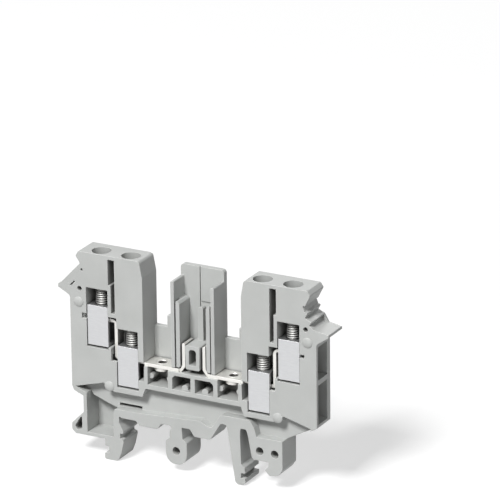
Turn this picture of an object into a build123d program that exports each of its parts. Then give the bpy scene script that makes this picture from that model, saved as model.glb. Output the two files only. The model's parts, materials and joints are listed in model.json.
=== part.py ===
from build123d import *
import os

# Feed-through terminal block for a 35 mm top-hat rail, four screw clamps, one 6.2 mm slice.
# X runs along the block, Y along the rail and Z up. The origin is on the rail's centre line,
# level with the tops of its flanges, at half the block's width. The open face looks to -Y.

# Block
width = 6.2
length = 63.5
top = 39.5
tip_reach = 2.8
closed_wall = 1.2
face_wall = 0.7
bottom_wall = 1.9

# Rail that the foot takes
rail_width = 35.0
rail_depth = 7.5
rail_sheet = 1.0
rail_inside = 25.0
rail_clearance = 0.1

# Clamps
clamp_inset = 6.45
clamp_step = 7.05
outer_cage_bottom = 19.0
level_step = 8.1
cage_width = 4.87
cage_height = 8.85
cage_side = 0.8
cage_floor = 0.8
cage_head = 2.0
cage_travel = 3.5
cage_clearance = 0.15
sill_gap = 0.5
sill_wall = 1.1
side_clearance = 0.2

# Clamp screws and the shafts above them
thread_radius = 1.5
screw_clearance = 0.05
head_height = 1.8
slot_width = 0.7
slot_depth = 0.9
seat_wall = 1.0
seat_clearance = 0.15
head_clearance = 0.2
tip_gap = 0.1
shaft_skin = 0.4
shaft_side = 0.65
shaft_flank = 1.75

# Current bar
bar_sheet = 0.7
bar_drop = 5.4
bar_margin = 0.4
tongue_end = 1.3
bridge_x = 8.4
bridge_radius = 1.02
collar_wall = 0.68
collar_drop = 0.9
leg_gap = 0.3
bar_bend = 0.6
contact_gap = 0.35
contact_height = 5.9
contact_rise = 0.9
contact_foot = 0.75

# Centre tower, its ribs, the socket and the key above it
channel_height = 6.9
channel_step = 2.6
step_inset = 3.1
tower_x = 5.1
tower_top = 38.7
tower_wall = 0.8
tower_shoulder = 2.4
tower_setback = 0.35
rib_split = 0.3
rib_wall = 0.9
rib_shoulder = 3.7
rib_lift = 0.3
socket_x = 1.7
socket_lift = 0.4
socket_height = 5.7
socket_hole_x = 0.85
socket_wall = 1.0
key_x = 0.6
key_height = 7.4
key_depth = 1.1

# Cells under the bar
cell_height = 3.95
cell_rim = 1.05
cell_split = 5.35
cell_wall = 1.0
cell_edge = 0.9
peg_radius = 0.6

# Wire funnels
funnel_gap = 1.0
outer_mouth = 8.0
inner_mouth = 8.9

# Foot, ear and hooks
panel_recess = 2.0
beam_top = 5.5
beam_under = 3.6
beam_low = 2.65
arch_top = 8.6
arch_under = 6.6
right_block_top = 5.2
hook_wall = 3.7
hook_bottom = 6.4
lobe_x = -4.15
lobe_width = 5.0
lobe_bottom = 4.5
cavity_inset = 3.45
floor_top = 1.0
floor_wall = 0.8
ear_wall = 0.6
ear_lip = 0.25
web_wall = 1.3
hole_radius = 0.9

# Locating pins and small holes
pin_radius = 1.1
pin_height = 0.4
pin_rim = 0.1
pin_fit = 0.06
pin_end = 2.05
upper_pin_z = 28.2
lower_pin_step = 4.45
marker_hole_radius = 0.55
marker_hole_depth = 3.0
mark = 1.1
mark_depth = 1.5
marker_wall = 0.6

# Places that follow from the sizes above
front = -width / 2
inside_depth = width - closed_wall
screw_depth = inside_depth / 2
screw_y = front + screw_depth
cage_depth = inside_depth - 2 * side_clearance
tip_x = length / 2
end_x = tip_x - tip_reach
outer_x = end_x - clamp_inset
inner_x = outer_x - clamp_step
rail_edge = rail_width / 2 + rail_clearance
flange_under = -rail_sheet - rail_clearance
leg_reach = rail_inside / 2 - rail_clearance
leg_bottom = rail_depth - rail_sheet - 3 * rail_clearance
shaft_radius = screw_depth - shaft_skin
head_radius = shaft_radius - head_clearance
window_top = cage_height + cage_travel + 0.4
seat_level = window_top + seat_wall
pocket_half = cage_width / 2 + cage_clearance
inner_cage_bottom = outer_cage_bottom - level_step
body_bottom = inner_cage_bottom - bottom_wall
bar_level = inner_cage_bottom + bar_drop
bar_top = bar_level + bar_sheet
tongue_width = cage_depth - 2 * cage_side - 2 * side_clearance
bar_width = inside_depth - 2 * bar_margin
collar_radius = bridge_radius + collar_wall
channel_x = inner_x - shaft_radius - shaft_flank
step_x = channel_x - step_inset
channel_floor = bar_top + channel_height
rib_far = tower_x - tower_wall - rib_split
rib_x = rib_far - rib_wall
rib_top = tower_top - tower_shoulder - rib_shoulder
socket_top = bar_top + socket_height
contact_x = socket_x + contact_gap + bar_sheet / 2
cell_bottom = bar_level - cell_height
cell_end = channel_x - cell_edge
slot_near = inner_x + shaft_radius + shaft_side
slot_far = outer_x - shaft_radius - shaft_side
web_left = rail_edge + 1.5
web_face = web_left - web_wall
hook_x = rail_edge + hook_wall
cavity_left = end_x - cavity_inset
ear_x = end_x + ear_lip
right_block_x = rail_edge + 3.3
upper_pin_x = end_x - pin_end
lower_pin_x = inner_x + lower_pin_step
lower_pin_z = inner_cage_bottom - pin_radius / 2
upper_pins = [(side * upper_pin_x, upper_pin_z) for side in (-1, 1)]
lower_pins = [(side * lower_pin_x, lower_pin_z) for side in (-1, 1)]
pin_places = upper_pins + lower_pins


def slab(corners, near, far):
    """A profile in X and Z, each corner with an optional radius, from one depth to another."""
    points = [Vector(corner[0], front + near, corner[1]) for corner in corners]
    face = Face(Wire.make_polygon(points, close=True))
    for corner, point in zip(corners, points):
        if len(corner) == 3:
            vertex = face.vertices().sort_by_distance(point)[0]
            face = face.fillet_2d(corner[2], [vertex])
    return extrude(face, amount=far - near, dir=(0, 1, 0))


def block(x_range, z_range, near, far):
    """A rectangular block between two depths."""
    x_low, x_high = sorted(x_range)
    z_low, z_high = z_range
    place = Location(((x_low + x_high) / 2, front + (near + far) / 2, (z_low + z_high) / 2))
    return place * Box(x_high - x_low, far - near, z_high - z_low)


def mirrored(side, corners):
    """The same corners on the side that the sign gives."""
    return [(side * corner[0],) + tuple(corner[1:]) for corner in corners]


def upright(x, z_low, z_high, radius):
    """An upright cylinder on a screw's axis."""
    place = Location((x, screw_y, (z_low + z_high) / 2))
    return place * Cylinder(radius, z_high - z_low)


def across(x, z, radius, near, far):
    """A cylinder that runs into the block from the open face."""
    place = Location((x, front + (near + far) / 2, z), (90, 0, 0))
    return place * Cylinder(radius, far - near)


def left_end():
    return [
        (-end_x, body_bottom, 0.4),
        (-end_x, upper_pin_z + 0.7),
        (-(end_x + 0.2), upper_pin_z + 1.2, 0.3),
        (-tip_x, upper_pin_z + 2.6, 0.2),
        (-tip_x, upper_pin_z + 3.3, 0.2),
        (-(tip_x - 0.95), upper_pin_z + 4.0, 0.3),
        (-(end_x - 2.6), top - 2.6, 0.3),
        (-(end_x - 1.55), top - 1.1, 0.4),
        (-(end_x - 2.2), top, 0.3),
    ]


def crown():
    raised = channel_floor + channel_step
    return [
        (-(channel_x + 0.7), top, 0.8),
        (-channel_x, top - 3.7, 1.5),
        (-channel_x, channel_floor),
        (-step_x, channel_floor),
        (-step_x, raised),
        (-tower_x, raised),
        (-tower_x, tower_top, 0.8),
        (tower_x, tower_top, 0.8),
        (tower_x, channel_floor),
        (step_x, channel_floor),
        (step_x, raised),
        (channel_x, raised),
        (channel_x, top - 3.7, 1.5),
        (channel_x + 0.7, top, 0.8),
    ]


def right_end():
    return [
        (end_x - 2.1, top, 0.3),
        (end_x - 1.35, top - 1.0, 0.4),
        (end_x - 2.65, top - 3.5),
        (end_x - 3.3, top - 3.1, 0.2),
        (end_x - 2.65, top - 4.7),
        (end_x - 2.05, top - 5.0, 0.2),
        (end_x - 2.6, top - 6.0, 0.1),
        (end_x - 1.75, top - 6.4),
        (end_x - 1.15, top - 6.6, 0.2),
        (end_x - 0.1, upper_pin_z + 2.92),
        (tip_x, upper_pin_z + 2.4, 0.15),
        (tip_x, upper_pin_z + 1.8, 0.15),
        (end_x + 0.4, upper_pin_z + 0.2),
        (end_x, upper_pin_z - 0.3),
        (end_x, body_bottom + 0.5, 0.3),
        (right_block_x, right_block_top, 0.3),
    ]


def marker_pocket():
    """The recess below the grooves of the right end, shut by a thin wall on the closed side."""
    return slab(
        [
            (end_x - 1.25, top - 6.8),
            (end_x - 1.6, top - 7.5, 0.1),
            (end_x - 0.55, upper_pin_z + 3.0),
            (end_x - 0.1, upper_pin_z + 2.92),
            (end_x + 0.5, top - 6.9),
        ],
        -1,
        width - marker_wall,
    )


def right_hook():
    return [
        (right_block_x, -1.2, 0.6),
        (right_block_x - 1.0, -2.7, 1.0),
        (rail_edge + 0.3, -3.05, 0.8),
        (rail_edge - 0.9, flange_under - 0.8, 0.3),
        (rail_edge - 0.3, flange_under - 0.2, 0.1),
        (rail_edge, flange_under),
        (rail_edge, 0),
        (leg_reach + 1.7, 0, 0.2),
    ]


def spring_leg():
    notch = -leg_bottom + 1.4
    return [
        (leg_reach + 1.3, 0.6),
        (leg_reach + 0.5, arch_under - 1.6, 0.6),
        (leg_reach + 0.1, arch_under - 0.2, 0.5),
        (leg_reach - 1.35, arch_under - 0.2, 0.5),
        (leg_reach - 1.4, arch_under - 1.6),
        (leg_reach - 1.2, -1.7, 0.3),
        (leg_reach - 0.4, -2.3, 0.3),
        (leg_reach - 0.3, notch + 1.2),
        (leg_reach - 1.3, notch + 1.2),
        (leg_reach - 1.3, notch),
        (leg_reach - 0.3, notch),
        (leg_reach - 0.2, -leg_bottom, 0.8),
        (leg_reach - 2.55, -leg_bottom, 0.8),
        (leg_reach - 4.35, arch_under - 1.2, 0.3),
        (leg_reach - 4.6, arch_under, 0.5),
        (leg_reach - 5.95, arch_under, 0.5),
    ]


def beam_and_lobe():
    lobe_left = lobe_x - lobe_width / 2
    lobe_right = lobe_x + lobe_width / 2
    return [
        (lobe_x + 8.1, beam_low - 0.15, 0.4),
        (lobe_x + 4.35, beam_low - 0.1, 0.2),
        (lobe_x + 3.35, beam_under + 0.45, 0.5),
        (lobe_x + 1.3, beam_under + 0.45, 0.3),
        (lobe_x + 1.55, 1.4),
        (lobe_right, 0.7, 0.4),
        (lobe_right, -1.9),
        (lobe_right - 0.3, -lobe_bottom, 2.2),
        (lobe_left + 0.3, -lobe_bottom, 2.2),
        (lobe_left, -1.9),
        (lobe_left, 0.5, 0.4),
        (lobe_x - 1.55, 1.2),
        (lobe_x - 1.55, beam_under - 0.6),
        (lobe_x - 1.05, beam_under - 0.1, 0.3),
        (lobe_x - 1.45, beam_under + 0.45, 0.3),
        (lobe_x - 3.6, beam_under + 0.35, 0.3),
        (lobe_x - 4.45, beam_low, 0.3),
        (lobe_x - 8.75, beam_low, 0.4),
        (lobe_x - 9.55, beam_under, 0.4),
        (-(web_face - 0.8), beam_under),
        (-web_face, beam_under + 0.3, 0.2),
    ]


def left_hook():
    return [
        (-web_face, beam_low - 0.3, 0.3),
        (-(rail_edge - 0.8), 0.5, 0.2),
        (-(rail_edge - 0.65), 0),
        (-rail_edge, 0),
        (-rail_edge, flange_under),
        (-(rail_edge - 0.7), flange_under - 0.25, 0.1),
        (-(rail_edge - 0.8), flange_under - 0.8, 0.2),
        (-(rail_edge - 0.2), -4.4),
        (-(rail_edge + 0.6), -hook_bottom, 0.8),
        (-hook_x, -hook_bottom, 0.4),
        (-(hook_x + 0.1), -hook_bottom + 1.4, 0.2),
        (-(hook_x - 1.0), -hook_bottom + 1.5),
        (-(hook_x - 1.0), -hook_bottom + 3.0),
        (-hook_x, -hook_bottom + 3.05, 0.2),
        (-hook_x, -(floor_top + floor_wall)),
    ]


def left_box():
    box_left = cavity_left + floor_wall
    return [
        (-(ear_x - 0.9), -(floor_top + floor_wall), 0.5),
        (-ear_x, -floor_top, 0.5),
        (-ear_x, 0.5, 0.5),
        (-box_left, 3.4),
        (-box_left, body_bottom - 1.9, 0.3),
        (-(end_x - 0.45), body_bottom - 1.0, 0.3),
    ]


def silhouette():
    outline = left_end() + crown() + right_end() + right_hook()
    outline += spring_leg() + beam_and_lobe() + left_hook() + left_box()
    return slab(outline, 0, width)


def lower_recess():
    """The set-back panel between the clamps and the foot's beam."""
    lip = inner_cage_bottom - sill_gap - sill_wall
    lip_far = inner_x + pocket_half + 0.8
    lip_near = inner_x - pocket_half - 0.8
    rim = cell_bottom - cell_rim
    return slab(
        [
            (-(end_x - 0.85), body_bottom),
            (-(lip_far + 2.5), inner_cage_bottom),
            (-lip_far, lip, 0.2),
            (-lip_near, lip, 0.2),
            (-(lip_near - 0.8), rim),
            (lip_near - 0.8, rim),
            (lip_near, lip, 0.2),
            (lip_far, lip, 0.2),
            (lip_far + 2.5, inner_cage_bottom),
            (end_x - 1.25, body_bottom + 0.2),
            (end_x - 2.35, body_bottom - 1.8),
            (right_block_x + 1.3, right_block_top - 0.3),
            (right_block_x - 0.2, right_block_top),
            (leg_reach + 2.5, right_block_top - 0.05, 0.3),
            (leg_reach + 1.9, arch_top - 1.5),
            (leg_reach + 0.9, arch_top, 1.0),
            (leg_reach - 5.9, arch_top, 0.8),
            (leg_reach - 8.1, beam_top - 0.2, 0.5),
            (leg_reach - 9.1, beam_top - 0.1, 0.5),
            (leg_reach - 10.8, beam_top + 0.8),
            (-(rail_edge - 4.7), beam_top),
            (-(web_left - 0.1), beam_top - 0.1, 0.6),
            (-(web_left - 0.1), 3.0),
            (-cavity_left, 3.0),
            (-cavity_left, body_bottom - 1.1),
            (-(end_x - 1.65), body_bottom - 0.5),
        ],
        -1,
        panel_recess,
    )


def left_cavity():
    return slab(
        [
            (-cavity_left, -floor_top),
            (-web_left, -floor_top),
            (-web_left, beam_top - 0.6),
            (-(web_left + 2.0), beam_top),
            (-(cavity_left - 0.6), body_bottom - 2.1),
            (-cavity_left, body_bottom - 1.1),
        ],
        -1,
        inside_depth,
    )


def ear_opening():
    near = cavity_left + floor_wall + ear_wall - 0.15
    return slab(
        [
            (-near, 2.65, 0.2),
            (-(ear_x - ear_wall - 0.1), -0.1, 0.3),
            (-(ear_x - ear_wall - 0.6), -floor_top, 0.3),
            (-near, -0.5, 0.3),
        ],
        -1,
        inside_depth,
    )


def clamp_space(x, bottom):
    """The pocket of one cage, open to the front, with the screw's way and the driver's shaft."""
    return [
        block((x - pocket_half, x + pocket_half), (bottom - sill_gap, bottom + window_top), -1, inside_depth),
        upright(x, bottom, top, thread_radius + seat_clearance),
        upright(x, bottom + seat_level, top + 1, shaft_radius),
    ]


def leg_channel(side):
    """The slit for the bar's step between the two clamps of one end."""
    near = inner_x + pocket_half - 0.1
    far = outer_x - pocket_half + 0.1
    neck = near + 0.1 + leg_gap + bar_sheet + 0.3
    elbow = bar_top + level_step + 0.8
    low = bar_level - 0.15
    return [
        block((side * near, side * neck), (low, elbow), -1, inside_depth),
        block((side * near, side * far), (outer_cage_bottom, elbow), -1, inside_depth),
    ]


def tower_slot(side):
    """The narrow slot between the two driver shafts of one end."""
    step = slot_far - 0.6
    low = bar_top + level_step + 1.7
    middle = top - 6.5
    return [
        block((side * slot_near, side * step), (low, middle + 0.1), -1, inside_depth),
        block((side * slot_near, side * slot_far), (middle, top - 0.8), -1, inside_depth),
    ]


def outer_funnel(side):
    floor = outer_cage_bottom + cage_floor + 0.1
    roof = bar_level + level_step + 0.3
    start = outer_x + pocket_half - 0.1
    mouth = outer_cage_bottom + funnel_gap
    corners = [(start, floor), (end_x + 1, mouth), (end_x + 1, mouth + outer_mouth), (start, roof)]
    return slab(mirrored(side, corners), face_wall, inside_depth - side_clearance / 2)


def inner_funnel(side):
    floor = inner_cage_bottom + cage_floor
    start = inner_x + pocket_half - 0.1
    mouth = body_bottom + funnel_gap
    neck = outer_cage_bottom - sill_gap - 0.7
    corners = [
        (start, floor),
        (end_x + 1, mouth),
        (end_x + 1, mouth + inner_mouth),
        (end_x, mouth + inner_mouth),
        (outer_x + pocket_half, neck),
        (outer_x - pocket_half, neck),
        (start, bar_level),
    ]
    return slab(mirrored(side, corners), face_wall, inside_depth - side_clearance / 2)


def bar_gate(side):
    """The way from the cells to the inner clamp, past the tower's wall."""
    reach = inner_x - pocket_half + 0.1
    low = cell_bottom + 0.5
    high = bar_top + 0.1
    near = channel_x - 0.1
    corners = [(near, bar_level), (channel_x, low), (reach, low), (reach, high), (near, high)]
    return slab(mirrored(side, corners), -1, inside_depth)


def cells(side):
    split_far = cell_split + cell_wall / 2
    split_near = cell_split - cell_wall / 2
    roof = bar_level - 0.8
    corners = [
        (cell_wall / 2, cell_bottom),
        (split_near, cell_bottom),
        (split_near, roof - 0.6),
        (split_near - 0.7, roof),
        (cell_wall / 2, roof),
    ]
    return [
        block((side * split_far, side * cell_end), (cell_bottom, bar_level + 0.1), -1, inside_depth),
        slab(mirrored(side, corners), -1, inside_depth),
    ]


def cell_pegs(side):
    peg_z = cell_bottom + 1.7
    near_wall = cell_split + cell_wall / 2
    reach = inside_depth + 0.1
    return [
        across(side * (near_wall + 0.2), peg_z, peg_radius, 1.0, reach),
        across(side * (cell_end - 0.3), peg_z, peg_radius, 1.0, reach),
        across(side * (cell_split / 2 - 0.3), cell_bottom + 0.2, peg_radius + 0.15, 1.0, reach),
    ]


def tower_walls(side):
    """One upright wall of the tower, and the rib beside it that guides the plugged contact."""
    reach = inside_depth + 0.5
    low = bar_top + 0.15
    wall_top = tower_top - tower_shoulder
    wall = [
        (tower_x - tower_wall, low),
        (tower_x, low),
        (tower_x, wall_top, 0.3),
        (tower_x - tower_wall, wall_top, 0.3),
    ]
    rib = [
        (rib_x, bar_top + rib_lift + 0.3),
        (rib_x + 0.3, bar_top + rib_lift),
        (rib_far, bar_top + rib_lift),
        (rib_far, rib_top, 0.3),
        (rib_x, rib_top - 1.2, 0.3),
    ]
    return [
        slab(mirrored(side, wall), tower_setback, reach),
        slab(mirrored(side, rib), tower_setback + 0.1, reach),
        block(
            (side * (rib_far - 0.1), side * (tower_x - tower_wall + 0.1)),
            (bar_top + rib_lift, rib_top - 0.6),
            screw_depth,
            reach,
        ),
    ]


def socket():
    """The small box between the contacts, with its blind hole, and the key above it."""
    low = bar_top + socket_lift
    reach = inside_depth + 0.5
    outside = [
        (-socket_x + 0.1, low, 0.3),
        (socket_x - 0.1, low, 0.3),
        (socket_x, socket_top, 0.3),
        (-socket_x, socket_top, 0.3),
    ]
    hole = [
        (-socket_hole_x, low + socket_wall, 0.2),
        (socket_hole_x, low + socket_wall, 0.2),
        (socket_hole_x, socket_top - 0.8, 0.7),
        (-socket_hole_x, socket_top - 0.8, 0.7),
    ]
    key_top = socket_top + key_height
    key_low = socket_top - 0.1
    key = [(-key_x, key_low), (key_x, key_low), (key_x, key_top, 0.5), (-key_x, key_top, 0.5)]
    return [
        slab(outside, 0.1, reach) - slab(hole, -1, inside_depth - 0.6),
        slab(key, inside_depth - key_depth, reach),
    ]


def tower_back_relief():
    """The seam and the lower field of the tower's back plate."""
    near = inside_depth - 0.1
    far = inside_depth + 0.3
    split = socket_top + key_height + 1.0
    return [
        block((-0.65, -0.4), (split, tower_top + 1), near, far),
        block((-0.65, rib_x), (socket_top, split), near, far),
    ]


def pin(x, z):
    """A locating pin with a domed end in front of the open face."""
    dome = pin_height - pin_rim
    ball_radius = (pin_radius**2 + dome**2) / (2 * dome)
    ball = Location((x, front - pin_height + ball_radius, z)) * Sphere(ball_radius)
    return across(x, z, pin_radius, -pin_height, panel_recess + 0.2).intersect(ball)


def pin_seat(x, z):
    """The blind hole in the closed side for the next block's pin."""
    return across(x, z, pin_radius + pin_fit, width - pin_height - 0.1, width + 1)


def small_holes():
    ledge = upper_pin_z + 3.0
    rim = outer_x + pocket_half
    slit = [
        (-end_x, ledge + 0.45),
        (-(end_x - 0.2), ledge + 0.25),
        (-(end_x - 1.3), ledge + 1.35),
        (-(end_x - 1.1), ledge + 1.55),
    ]
    return [
        across(-(end_x - 2.35), ledge, marker_hole_radius, -1, marker_hole_depth),
        across(end_x - 2.45, ledge - 0.2, marker_hole_radius, -1, marker_hole_depth),
        across(-(end_x - 2.95), top - 4.0, marker_hole_radius / 2, -1, 1),
        block((-(rim + mark), -(rim - 0.1)), (upper_pin_z - 3.5, upper_pin_z - 2.3), -1, mark_depth),
        block((rim - 0.1, rim + mark), (upper_pin_z - 3.65, upper_pin_z - 2.85), -1, mark_depth),
        slab(slit, -1, marker_hole_depth),
        across(lobe_x, -1.5, hole_radius, -1, width + 1),
        across(right_block_x - 5.3, 2.1, hole_radius, -1, width + 1),
        across(right_block_x - 1.8, 2.0, hole_radius, -1, width + 1),
        block(
            (-(web_left - 0.5), -(rail_edge - 4.4)),
            (beam_top, beam_top + 0.7),
            panel_recess - 0.1,
            inside_depth,
        ),
    ]


def housing():
    over_bar = block((-channel_x, channel_x), (bar_level, top + 1), -1, inside_depth)
    cuts = [over_bar, lower_recess(), left_cavity(), ear_opening()]
    adds = socket()
    for side in (-1, 1):
        cuts += clamp_space(side * outer_x, outer_cage_bottom)
        cuts += clamp_space(side * inner_x, inner_cage_bottom)
        cuts += leg_channel(side) + tower_slot(side) + cells(side)
        cuts += [outer_funnel(side), inner_funnel(side), bar_gate(side)]
        adds += cell_pegs(side) + tower_walls(side)
    cuts += tower_back_relief() + small_holes() + [marker_pocket()]
    for x, z in pin_places:
        adds += pin(x, z)
        cuts.append(pin_seat(x, z))
    shape = silhouette().cut(*cuts)
    return shape.fuse(*adds)


def cage(x, bottom):
    """One clamp cage: a square tube along X, with a thick threaded head."""
    near = side_clearance
    outside = block(
        (x - cage_width / 2, x + cage_width / 2),
        (bottom, bottom + cage_height),
        near,
        near + cage_depth,
    )
    hollow = block(
        (x - cage_width, x + cage_width),
        (bottom + cage_floor, bottom + cage_height - cage_head),
        near + cage_side,
        near + cage_depth - cage_side,
    )
    thread = upright(x, bottom + cage_height / 2, bottom + cage_height + 1, thread_radius + screw_clearance)
    return outside - hollow - thread


def screw(x, bottom):
    """One slotted cheese-head clamp screw, its tip just over the bar's tongue."""
    tip = bottom + bar_drop + bar_sheet + tip_gap
    head_low = bottom + seat_level + tip_gap
    head_top = head_low + head_height
    body = upright(x, tip, head_low + 0.1, thread_radius) + upright(x, head_low, head_top, head_radius)
    slot = Location((x, screw_y, head_top)) * Box(2.5 * head_radius, slot_width, 2 * slot_depth)
    return body - slot


def bar(side):
    """Half of the current bar: outer tongue, step, flat with its threaded hole, and contact."""
    leg_near = inner_x + pocket_half + leg_gap
    leg_far = leg_near + bar_sheet
    upper = bar_level + level_step
    stepped = [
        (outer_x + tongue_end, upper),
        (outer_x + tongue_end, upper + bar_sheet),
        (leg_near, upper + bar_sheet, bar_bend + bar_sheet),
        (leg_near, bar_top, 0.1),
        (channel_x, bar_top),
        (channel_x, bar_level),
        (leg_far, bar_level, bar_bend + 0.1),
        (leg_far, upper, 0.1),
    ]
    foot = contact_x + bar_sheet / 2 + contact_foot
    contact_top = bar_top + contact_height
    rise = bar_top + contact_rise
    contact = [
        (foot + 0.1, bar_level),
        (foot + 0.1, bar_top),
        (foot - 0.3, bar_top),
        (contact_x + bar_sheet / 2, rise),
        (contact_x + bar_sheet / 2, contact_top, 0.3),
        (contact_x - bar_sheet / 2, contact_top - 0.2, 0.3),
        (contact_x - bar_sheet / 2, rise - 0.3),
        (foot - 0.5, bar_level),
    ]
    near = screw_depth - bar_width / 2
    far = screw_depth + bar_width / 2
    sheet = slab(mirrored(side, stepped), screw_depth - tongue_width / 2, screw_depth + tongue_width / 2)
    sheet += block((side * channel_x, side * foot), (bar_level, bar_top), near, far)
    sheet += slab(mirrored(side, contact), near + 0.3, far - 0.3)
    sheet += upright(side * bridge_x, bar_level - collar_drop, bar_level + 0.1, collar_radius)
    return sheet - upright(side * bridge_x, bar_level - collar_drop - 1, bar_top + 1, bridge_radius)


def save(shape, name):
    solids = shape.solids()
    whole = solids[0] if len(solids) == 1 else Compound(solids)
    whole.label = name
    export_step(whole, os.path.join("parts", name + ".step"))


def main():
    os.makedirs("parts", exist_ok=True)
    save(housing(), "housing")
    for side, end in ((-1, "left"), (1, "right")):
        save(bar(side), "current_bar_" + end)
        for place, x, bottom in (
            ("outer", outer_x, outer_cage_bottom),
            ("inner", inner_x, inner_cage_bottom),
        ):
            save(cage(side * x, bottom), "clamp_cage_" + end + "_" + place)
            save(screw(side * x, bottom), "clamp_screw_" + end + "_" + place)


main()
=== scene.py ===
import json
import math
import bmesh
import bpy
from mathutils import Matrix, Vector


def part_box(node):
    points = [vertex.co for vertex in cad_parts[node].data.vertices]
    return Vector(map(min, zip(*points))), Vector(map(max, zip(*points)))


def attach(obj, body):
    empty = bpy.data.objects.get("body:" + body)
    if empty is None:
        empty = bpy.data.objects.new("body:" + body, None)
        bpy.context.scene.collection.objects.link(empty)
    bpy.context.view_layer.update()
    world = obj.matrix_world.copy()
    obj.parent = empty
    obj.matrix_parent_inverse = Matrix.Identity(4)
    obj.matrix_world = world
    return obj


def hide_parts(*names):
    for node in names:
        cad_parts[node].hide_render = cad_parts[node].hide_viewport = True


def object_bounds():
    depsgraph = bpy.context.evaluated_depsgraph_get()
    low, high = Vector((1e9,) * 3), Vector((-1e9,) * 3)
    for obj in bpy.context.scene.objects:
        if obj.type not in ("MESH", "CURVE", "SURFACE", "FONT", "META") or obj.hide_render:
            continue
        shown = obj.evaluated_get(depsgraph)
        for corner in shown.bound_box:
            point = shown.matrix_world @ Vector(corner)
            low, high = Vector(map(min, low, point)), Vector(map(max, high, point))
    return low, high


# Looks of a feed-through terminal block: a moulded grey housing, plated cages, slotted screws with
# cut threads and a tin-plated current bar, on a pale studio floor. Lengths are in metres where no
# other unit is named.

MM = 0.001

# The photograph's side in pixels and the camera fitted to it: angles in degrees, distance from the
# target, focal length in pixels, sensor in millimetres, and the pixel on which the target lies
IMAGE = 500
AZIMUTH = 28.0
ELEVATION = 20.3
ROLL = -0.663
DISTANCE = 1.0
FOCAL_PIXELS = 4802.3
SENSOR_WIDTH = 36
TARGET = Vector((0, 0, 0.0165))
TARGET_PIXEL = (199.5, 369.6)

# The studio: square lamps, each with its place and its power in watts, and a dim world
LAMP_AIM = Vector((0, 0, 0.015))
LAMP_SIDE = 0.6
LAMPS = {
    "key": ((-0.18, -1.75, 1.93), 79),
    "fill": ((1.7, -0.9, 1.3), 6),
    "rear": ((-0.5, 2.3, 0.45), 24),
}
WORLD_LIGHT = (0.95, 0.97, 1.0, 1)
WORLD_STRENGTH = 0.06
WHITE = (1, 1, 1, 1)

# The floor, with what it adds to its own light where it is seen, so that only the shadow is grey
FLOOR_REACH = 1.6
FLOOR_GREY = (0.46, 0.46, 0.46, 1)
FLOOR_ROUGHNESS = 0.9
FLOOR_LIFT = 0.58

# Threads: one turn from root to root, as shares of the pitch and of the depth, the columns of
# points round a turn, the spare turns that the ends cut off, and how near points are joined
THREAD_PROFILE = ((0.0, 0.0), (0.12, 0.0), (0.5, 0.95), (0.56, 1.0), (0.62, 0.95))
THREAD_COLUMNS = 40
SPARE_TURNS = 3
WELD = 0.001 * MM

# The clamp screws, M3: head and slot as in the solids, crests 0.04 mm inside their plain shanks so
# that the thread clears the rounded rims of the cages' bores
SCREW_PITCH = 0.5 * MM
SCREW_DEPTH = 0.29 * MM
SCREW_ROOT = 1.46 * MM - SCREW_DEPTH
HEAD_RADIUS = 1.9 * MM
HEAD_HEIGHT = 1.8 * MM
HEAD_EDGE = 0.22 * MM
HEAD_EDGE_STEPS = 4
HEAD_SEGMENTS = 48
SLOT_WIDTH = 0.7 * MM
SLOT_DEPTH = 0.9 * MM

# The threaded hole in each half of the current bar, M2.5: its root lies just inside the solid's
# wall, and its worn lead-in goes from the flat inwards, as millimetres beyond the hole's radius
# and above the flat
BRIDGE_PITCH = 0.45 * MM
BRIDGE_DEPTH = 0.1 * MM
WALL_GAP = 0.01 * MM
LEAD_IN = ((0.32, 0.0), (0.26, 0.07), (0.12, 0.08), (0.0, 0.02), (-0.1, -0.14))

# Rounded edges of the metal solids
SHEET_EDGE = 0.1 * MM
CAGE_EDGE = 0.16 * MM
EDGE_SEGMENTS = 3
SHARP_ANGLE = math.radians(40)

# What the materials share: where a noise reaches its two tones, the rays of the rounded normal and
# of openness, the openness from a pocket's rim to its depth for the painted shade in pockets, and what
# makes an outer edge for the painted highlight on edges: how far the rounded normal leans, as a
# cosine, and how open the place is
TONE_RANGE = (0.3, 0.7)
BEVEL_SAMPLES = 6
OPENNESS_SAMPLES = 8
POCKET_SHADE_REACH = 6 * MM
POCKET_SHADE_RANGE = (0.34, 0.08)
EDGE_REACH = 0.5 * MM
EDGE_LEAN = (0.995, 0.9)
EDGE_OPENNESS = (0.75, 0.95)

# Moulded plastic: broad mottling in colour and roughness, a painted highlight on outer edges, painted
# shade in pockets, fine grain as a bump
PLASTIC_DARK = (0.443, 0.453, 0.441, 1)
PLASTIC_LIGHT = (0.483, 0.492, 0.481, 1)
PLASTIC_EDGE_HIGHLIGHT = (0.66, 0.67, 0.65, 1)
PLASTIC_POCKET_SHADE = (0.24, 0.24, 0.23, 1)
PLASTIC_ROUGHNESS = (0.42, 0.56)
PLASTIC_ROUNDING = 0.15 * MM
MOTTLE = {"Scale": 160, "Detail": 4}
GRAIN = {"Scale": 5200, "Detail": 3}
GRAIN_BUMP = {"Strength": 0.12, "Distance": 0.02 * MM}
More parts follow.
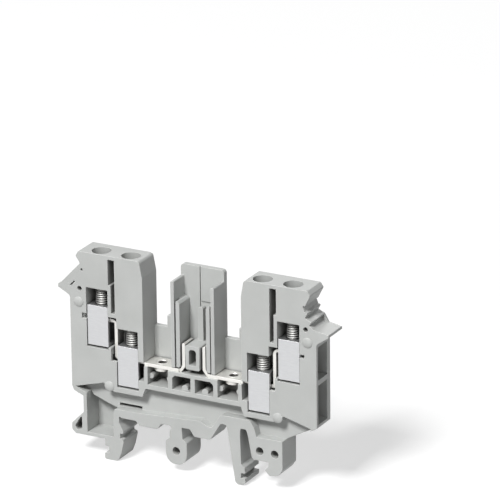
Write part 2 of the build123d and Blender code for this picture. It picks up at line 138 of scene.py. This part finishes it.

# Plated metals: drawn grain in colour, roughness and bump, squeezed along the axes by its stretch;
# under edge, the colour of the painted highlight on outer edges
METALS = {
    "cage_plating": {
        "dark": (0.59, 0.595, 0.605, 1),
        "light": (0.65, 0.655, 0.665, 1),
        "edge": (0.9, 0.9, 0.91, 1),
        "metallic": 0.9,
        "roughness": (0.36, 0.46),
        "scale": 900,
        "stretch": (1, 1, 12),
        "rounding": 0.12 * MM,
    },
    "tin_plating": {
        "dark": (0.78, 0.77, 0.735, 1),
        "light": (0.86, 0.85, 0.815, 1),
        "edge": (0.95, 0.94, 0.91, 1),
        "metallic": 0.7,
        "roughness": (0.42, 0.56),
        "scale": 1400,
        "stretch": (6, 1, 1),
        "rounding": 0.1 * MM,
    },
    "screw_plating": {
        "dark": (0.35, 0.35, 0.34, 1),
        "light": (0.45, 0.45, 0.44, 1),
        "edge": (0.52, 0.52, 0.51, 1),
        "metallic": 0.9,
        "roughness": (0.5, 0.62),
        "scale": 1500,
        "stretch": (1, 1, 4),
        "rounding": 0.03 * MM,
    },
    "thread_plating": {
        "dark": (0.80, 0.79, 0.76, 1),
        "light": (0.88, 0.87, 0.84, 1),
        "edge": (0.95, 0.94, 0.92, 1),
        "metallic": 0.7,
        "roughness": (0.35, 0.5),
        "scale": 1400,
        "stretch": (1, 1, 1),
        "rounding": 0.03 * MM,
    },
}
METAL_DETAIL = 5
# The colour of the painted shade in the metals' pockets
METAL_POCKET_SHADE = (0.12, 0.12, 0.115, 1)
METAL_BUMP = {"Strength": 0.15, "Distance": 0.01 * MM}

# Painted shade in the threads: on the screws from the root up to a share of the depth, in the bar
# from the flat down to a depth at which only a little of the plating still shows
THREAD_SHADE = (0.05, 0.047, 0.042, 1)
UNSHADED_SHARE = 0.7
THREAD_SHADE_DEPTH = 0.3 * MM
PLATING_LEFT = 0.1


def link(obj):
    bpy.context.scene.collection.objects.link(obj)
    return obj


def mesh_object(mesh, name):
    """An object of a bmesh, which this uses up."""
    data = bpy.data.meshes.new(name)
    mesh.to_mesh(data)
    mesh.free()
    return link(bpy.data.objects.new(name, data))


def piece(mesh, name, place, material):
    """A smooth piece of the block, at its place and in its material."""
    obj = mesh_object(mesh, name)
    obj.data.shade_smooth()
    obj.data.materials.append(material)
    obj.location = place
    return obj


def fill(tree, node, inputs):
    """Joins each named input of a node to an output, or sets it to a plain value."""
    for name, value in inputs.items():
        if isinstance(value, bpy.types.NodeSocket):
            tree.links.new(value, node.inputs[name])
        else:
            node.inputs[name].default_value = value


def add(tree, kind, inputs, **settings):
    """A new node with its settings and inputs."""
    node = tree.nodes.new("ShaderNode" + kind)
    for name, value in settings.items():
        setattr(node, name, value)
    fill(tree, node, inputs)
    return node


def result(tree, operation, first, second):
    """What a Math node makes of two values, such as their product or the larger one."""
    return add(tree, "Math", {0: first, 1: second}, operation=operation).outputs[0]


def new_material(name):
    """A material, its node tree and its shader."""
    mat = bpy.data.materials.new(name)
    mat.use_nodes = True
    return mat, mat.node_tree, mat.node_tree.nodes["Principled BSDF"]


def camera():
    """A plain camera that puts the target point on its pixel of the photograph's frame."""
    azimuth, elevation, roll = (math.radians(angle) for angle in (AZIMUTH, ELEVATION, ROLL))
    back = Vector((
        math.sin(azimuth) * math.cos(elevation),
        -math.cos(azimuth) * math.cos(elevation),
        math.sin(elevation),
    ))
    right = Vector((math.cos(azimuth), math.sin(azimuth), 0))
    up = back.cross(right)
    turned_right = math.cos(roll) * right + math.sin(roll) * up
    turned_up = -math.sin(roll) * right + math.cos(roll) * up
    across, down = ((pixel - IMAGE / 2) / FOCAL_PIXELS * DISTANCE for pixel in TARGET_PIXEL)
    place = TARGET + back * DISTANCE - turned_right * across + turned_up * down
    data = bpy.data.cameras.new("camera")
    data.sensor_width = SENSOR_WIDTH
    data.lens = FOCAL_PIXELS / IMAGE * SENSOR_WIDTH
    obj = link(bpy.data.objects.new("camera", data))
    rotation = Matrix((turned_right, turned_up, back)).transposed().to_4x4()
    obj.matrix_world = Matrix.Translation(place) @ rotation
    bpy.context.scene.camera = obj


def lamp(name, place, power):
    data = bpy.data.lights.new(name, "AREA")
    data.shape = "SQUARE"
    data.size = LAMP_SIDE
    data.energy = power
    obj = link(bpy.data.objects.new(name, data))
    turn = (LAMP_AIM - Vector(place)).to_track_quat("-Z", "Y")
    obj.matrix_world = Matrix.Translation(place) @ turn.to_matrix().to_4x4()


def seen_directly(tree):
    """1 where the camera, a reflection or a look through something sees the surface."""
    path = add(tree, "LightPath", {}).outputs
    seen = result(tree, "MAXIMUM", path["Is Camera Ray"], path["Is Glossy Ray"])
    return result(tree, "MAXIMUM", seen, path["Is Transmission Ray"])


def lights():
    """The lamps, and a world that is dim as a light and white where it is seen."""
    for name, (place, power) in LAMPS.items():
        lamp(name, place, power)
    world = bpy.data.worlds.new("studio")
    bpy.context.scene.world = world
    world.use_nodes = True
    tree = world.node_tree
    tree.nodes.clear()
    soft = add(tree, "Background", {"Color": WORLD_LIGHT, "Strength": WORLD_STRENGTH})
    white = add(tree, "Background", {"Color": WHITE})
    mix = add(tree, "MixShader", {0: seen_directly(tree), 1: soft.outputs[0], 2: white.outputs[0]})
    add(tree, "OutputWorld", {"Surface": mix.outputs[0]})


def floor(height):
    """A pale floor on which only the shadow shows."""
    mat, tree, shader = new_material("floor_white")
    fill(tree, shader, {
        "Base Color": FLOOR_GREY,
        "Roughness": FLOOR_ROUGHNESS,
        "Specular IOR Level": 0,
        "Emission Color": WHITE,
        "Emission Strength": result(tree, "MULTIPLY", seen_directly(tree), FLOOR_LIFT),
    })
    mesh = bmesh.new()
    bmesh.ops.create_grid(mesh, x_segments=1, y_segments=1, size=FLOOR_REACH)
    obj = mesh_object(mesh, "floor")
    obj.location.z = height
    obj.data.materials.append(mat)


def thread(mesh, low, high, pitch, root, depth):
    """A helical thread round Z between two heights, running out to its root at both ends.

    The depth is negative for a thread in a hole.
    """
    steps = len(THREAD_PROFILE)
    rows = (int((high - low) / pitch) + SPARE_TURNS) * steps
    columns = []
    for step in range(THREAD_COLUMNS):
        share = step / THREAD_COLUMNS
        angle = 2 * math.pi * share
        column = []
        for row in range(rows):
            along, rise = THREAD_PROFILE[row % steps]
            z = low + pitch * (row // steps + along + share - SPARE_TURNS / 2)
            radius = root + depth * rise
            if z <= low or z >= high:
                z = min(max(z, low), high)
                radius = root
            column.append(mesh.verts.new((radius * math.cos(angle), radius * math.sin(angle), z)))
        columns.append(column)
    for step, here in enumerate(columns):
        there = columns[(step + 1) % THREAD_COLUMNS]
        # The last column joins the first almost two turns off, as a steep seam one column wide
        lag = steps if here is columns[-1] else 0
        for row in range(rows - 1 - lag):
            mesh.faces.new((here[row + lag], there[row], there[row + 1], here[row + lag + 1]))
    bmesh.ops.remove_doubles(mesh, verts=mesh.verts, dist=WELD)


def bands(mesh, profile, segments):
    """Rings of points round Z, at each radius and height of a profile, with faces between them."""
    angles = [2 * math.pi * step / segments for step in range(segments)]
    rings = [
        [mesh.verts.new((radius * math.cos(angle), radius * math.sin(angle), z)) for angle in angles]
        for radius, z in profile
    ]
    for lower, upper in zip(rings, rings[1:]):
        for step in range(segments):
            after = (step + 1) % segments
            mesh.faces.new((lower[step], lower[after], upper[after], upper[step]))
    return rings


def lathe(mesh, profile, segments):
    """A solid of revolution round Z, its profile from the foot's rim to the top's, its ends flat."""
    rings = bands(mesh, profile, segments)
    foot, top = (mesh.verts.new((0, 0, z)) for _, z in (profile[0], profile[-1]))
    for step in range(segments):
        after = (step + 1) % segments
        mesh.faces.new((foot, rings[0][after], rings[0][step]))
        mesh.faces.new((top, rings[-1][step], rings[-1][after]))


def bar_thread(node, mount, name, material):
    """The thread and the raised lead-in of a bar's hole, which starts at the bar's lowest point."""
    x, y, _ = mount["pos_m"]
    radius = mount["dims"]["r_mm"] * MM
    length = mount["dims"]["length_mm"] * MM
    flat_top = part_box(node)[0].z + length
    lead_in = [(radius + beyond * MM, above * MM) for beyond, above in LEAD_IN]
    mesh = bmesh.new()
    thread(mesh, -length, lead_in[-1][1], BRIDGE_PITCH, radius - WALL_GAP, -BRIDGE_DEPTH)
    bands(mesh, lead_in, THREAD_COLUMNS)
    return piece(mesh, name, (x, y, flat_top), material)


def slotted_head(top):
    """The mesh of a cheese head that ends at this height, with its slot cut."""
    low = top - HEAD_HEIGHT
    foot = [(HEAD_RADIUS - HEAD_EDGE / 2, low), (HEAD_RADIUS, low + HEAD_EDGE / 2)]
    turns = [math.pi / 2 * (1 - step / HEAD_EDGE_STEPS) for step in range(HEAD_EDGE_STEPS + 1)]
    edge = [
        (HEAD_RADIUS - HEAD_EDGE * (1 - math.sin(turn)), top - HEAD_EDGE * (1 - math.cos(turn)))
        for turn in turns
    ]
    mesh = bmesh.new()
    lathe(mesh, foot + edge, HEAD_SEGMENTS)
    head = mesh_object(mesh, "head")
    mesh = bmesh.new()
    size = Matrix.Diagonal((3 * HEAD_RADIUS, SLOT_WIDTH, 2 * SLOT_DEPTH, 1))
    bmesh.ops.create_cube(mesh, size=1, matrix=Matrix.Translation((0, 0, top)) @ size)
    slot = mesh_object(mesh, "slot")
    cut = head.modifiers.new("slot", "BOOLEAN")
    cut.operation = "DIFFERENCE"
    cut.object = slot
    made = bpy.data.meshes.new_from_object(head.evaluated_get(bpy.context.evaluated_depsgraph_get()))
    bpy.data.objects.remove(slot)
    bpy.data.objects.remove(head)
    return made


def screw(node, name, material):
    """A slotted cheese-head screw with a cut thread in place of the plain one."""
    low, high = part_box(node)
    middle = (low + high) / 2
    length = high.z - low.z
    mesh = bmesh.new()
    thread(mesh, 0, length - HEAD_HEIGHT, SCREW_PITCH, SCREW_ROOT, SCREW_DEPTH)
    bmesh.ops.holes_fill(mesh, edges=[edge for edge in mesh.edges if edge.is_boundary])
    mesh.from_mesh(slotted_head(length))
    obj = piece(mesh, name, (middle.x, middle.y, low.z), material)
    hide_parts(node)
    return obj


def noise(tree, inputs, stretch=(1, 1, 1)):
    """A noise that lies still on its object."""
    place = add(tree, "TexCoord", {}).outputs["Object"]
    mapped = add(tree, "Mapping", {"Vector": place, "Scale": stretch}).outputs["Vector"]
    return add(tree, "TexNoise", {"Vector": mapped, **inputs}).outputs["Fac"]


def tones(tree, factor, dark, light):
    """A colour between two, by a noise."""
    ramp = add(tree, "ValToRGB", {"Fac": factor})
    for element, position, colour in zip(ramp.color_ramp.elements, TONE_RANGE, (dark, light)):
        element.position = position
        element.color = colour
    return ramp.outputs["Color"]


def spread(tree, value, before, after=(0.0, 1.0)):
    """Turns one range of a value into another, without going past its ends."""
    ends = {"From Min": before[0], "From Max": before[1], "To Min": after[0], "To Max": after[1]}
    return add(tree, "MapRange", {"Value": value, **ends}).outputs["Result"]


def blend(tree, factor, first, second):
    """Goes from the first colour to the second; each is an output or a plain colour."""
    inputs = {"Factor": factor, "A": first, "B": second}
    return add(tree, "Mix", inputs, data_type="RGBA").outputs["Result"]


def rounded_normal(tree, radius):
    """Edges rounded in the shading."""
    return add(tree, "Bevel", {"Radius": radius}, samples=BEVEL_SAMPLES).outputs["Normal"]


def relief(tree, height, inputs, normal):
    """A faint bump on top of a normal."""
    return add(tree, "Bump", {"Height": height, "Normal": normal, **inputs}).outputs["Normal"]


def openness(tree, reach, alone):
    """1 on open surfaces, less in corners and pockets, of the piece alone or with what stands in them."""
    settings = {"samples": OPENNESS_SAMPLES, "only_local": alone}
    return add(tree, "AmbientOcclusion", {"Distance": reach}, **settings).outputs["AO"]


def pockets(tree):
    """Where shade is painted: 1 deep in narrow pockets and 0 in the open."""
    return spread(tree, openness(tree, POCKET_SHADE_REACH, False), POCKET_SHADE_RANGE)


def painted_edge_highlight(tree, normal):
    """Where a highlight is painted: 1 on the outer edges, where the rounded normal leaves the face's own.
    """
    face = add(tree, "NewGeometry", {}).outputs["Normal"]
    lean = add(tree, "VectorMath", {0: normal, 1: face}, operation="DOT_PRODUCT").outputs["Value"]
    edge = spread(tree, lean, EDGE_LEAN)
    outer = spread(tree, openness(tree, EDGE_REACH, True), EDGE_OPENNESS)
    return result(tree, "MULTIPLY", edge, outer)


def plastic():
    """Satin moulded polyamide: fine grain, slight mottling, painted shade in pockets and a painted
    highlight on outer edges.
    """
    mat, tree, shader = new_material("moulded_grey")
    mottle = noise(tree, MOTTLE)
    normal = rounded_normal(tree, PLASTIC_ROUNDING)
    colour = tones(tree, mottle, PLASTIC_DARK, PLASTIC_LIGHT)
    # Painted shade in pockets
    colour = blend(tree, pockets(tree), colour, PLASTIC_POCKET_SHADE)
    fill(tree, shader, {
        # Painted highlight on the outer edges
        "Base Color": blend(tree, painted_edge_highlight(tree, normal), colour, PLASTIC_EDGE_HIGHLIGHT),
        "Roughness": spread(tree, mottle, (0, 1), PLASTIC_ROUGHNESS),
        "Normal": relief(tree, noise(tree, GRAIN), GRAIN_BUMP, normal),
    })
    return mat


def metal(name):
    """Plated sheet or turned steel: drawn grain, a painted highlight on outer edges, painted shade in
    pockets and a faint bump.
    """
    look = METALS[name]
    mat, tree, shader = new_material(name)
    grain = noise(tree, {"Scale": look["scale"], "Detail": METAL_DETAIL}, look["stretch"])
    normal = rounded_normal(tree, look["rounding"])
    colour = tones(tree, grain, look["dark"], look["light"])
    # Painted highlight on the outer edges
    colour = blend(tree, painted_edge_highlight(tree, normal), colour, look["edge"])
    fill(tree, shader, {
        # Painted shade in pockets
        "Base Color": blend(tree, pockets(tree), colour, METAL_POCKET_SHADE),
        "Metallic": look["metallic"],
        "Roughness": spread(tree, grain, (0, 1), look["roughness"]),
        "Normal": relief(tree, grain, METAL_BUMP, normal),
    })
    return mat


def paint_shade(mat, unshaded):
    """Paints shade: darkens a material's colour where the given mask is 0."""
    tree = mat.node_tree
    shader = tree.nodes["Principled BSDF"]
    plated = shader.inputs["Base Color"].links[0].from_socket
    fill(tree, shader, {"Base Color": blend(tree, unshaded, THREAD_SHADE, plated)})


def screw_plating():
    """Turned and plated steel, its thread darker towards the root with painted shade."""
    mat = metal("screw_plating")
    tree = mat.node_tree
    place = add(tree, "TexCoord", {}).outputs["Object"]
    flat = add(tree, "VectorMath", {0: place, 1: (1, 1, 0)}, operation="MULTIPLY").outputs["Vector"]
    radius = add(tree, "VectorMath", {0: flat}, operation="LENGTH").outputs["Value"]
    # Painted shade from the thread's root up to a share of its depth
    paint_shade(mat, spread(tree, radius, (SCREW_ROOT, SCREW_ROOT + SCREW_DEPTH * UNSHADED_SHARE)))
    return mat


def thread_plating():
    """Tin plating, bright on the lead-in and darker down in the thread with painted shade."""
    mat = metal("thread_plating")
    tree = mat.node_tree
    place = add(tree, "TexCoord", {}).outputs["Object"]
    height = add(tree, "SeparateXYZ", {"Vector": place}).outputs["Z"]
    # Painted shade from the flat down into the hole
    paint_shade(mat, spread(tree, height, (-THREAD_SHADE_DEPTH, 0.0), (PLATING_LEFT, 1.0)))
    return mat


def dress(node, material):
    """Gives a solid its material."""
    obj = frame["nodes"][node]
    obj.data.materials.clear()
    obj.data.materials.append(material)
    return obj


def round_edges(obj, width):
    """Rounds the sharp edges of a solid."""
    bevel = obj.modifiers.new("edges", "BEVEL")
    bevel.width = width
    bevel.segments = EDGE_SEGMENTS
    bevel.limit_method = "ANGLE"
    bevel.angle_limit = SHARP_ANGLE
    bevel.harden_normals = True


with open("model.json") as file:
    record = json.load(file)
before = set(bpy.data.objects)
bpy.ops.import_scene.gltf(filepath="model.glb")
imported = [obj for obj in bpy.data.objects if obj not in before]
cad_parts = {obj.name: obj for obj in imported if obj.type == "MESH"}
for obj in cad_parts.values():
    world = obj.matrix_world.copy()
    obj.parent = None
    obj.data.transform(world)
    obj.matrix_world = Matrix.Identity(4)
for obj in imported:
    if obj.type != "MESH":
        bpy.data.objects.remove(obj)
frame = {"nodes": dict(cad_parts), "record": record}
cad_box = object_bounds()
camera()
lights()
floor(cad_box[0].z)
cage_metal = metal("cage_plating")
bar_metal = metal("tin_plating")
screw_metal = screw_plating()
thread_metal = thread_plating()
mounts = {mount["name"]: mount for mount in frame["record"]["mounts"]}
dress("housing", plastic())
for end in ("left", "right"):
    bar = "current_bar_" + end
    round_edges(dress(bar, bar_metal), SHEET_EDGE)
    lining = bar_thread(bar, mounts["bridge_thread_" + end], "bar_thread_" + end, thread_metal)
    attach(lining, "housing")
    for level in ("outer", "inner"):
        tag = "%s_%s" % (end, level)
        round_edges(dress("clamp_cage_" + tag, cage_metal), CAGE_EDGE)
        clamp_screw = screw("clamp_screw_" + tag, "threaded_screw_" + tag, screw_metal)
        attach(clamp_screw, "screw_" + tag)
bpy.context.scene.view_settings.view_transform = "Standard"
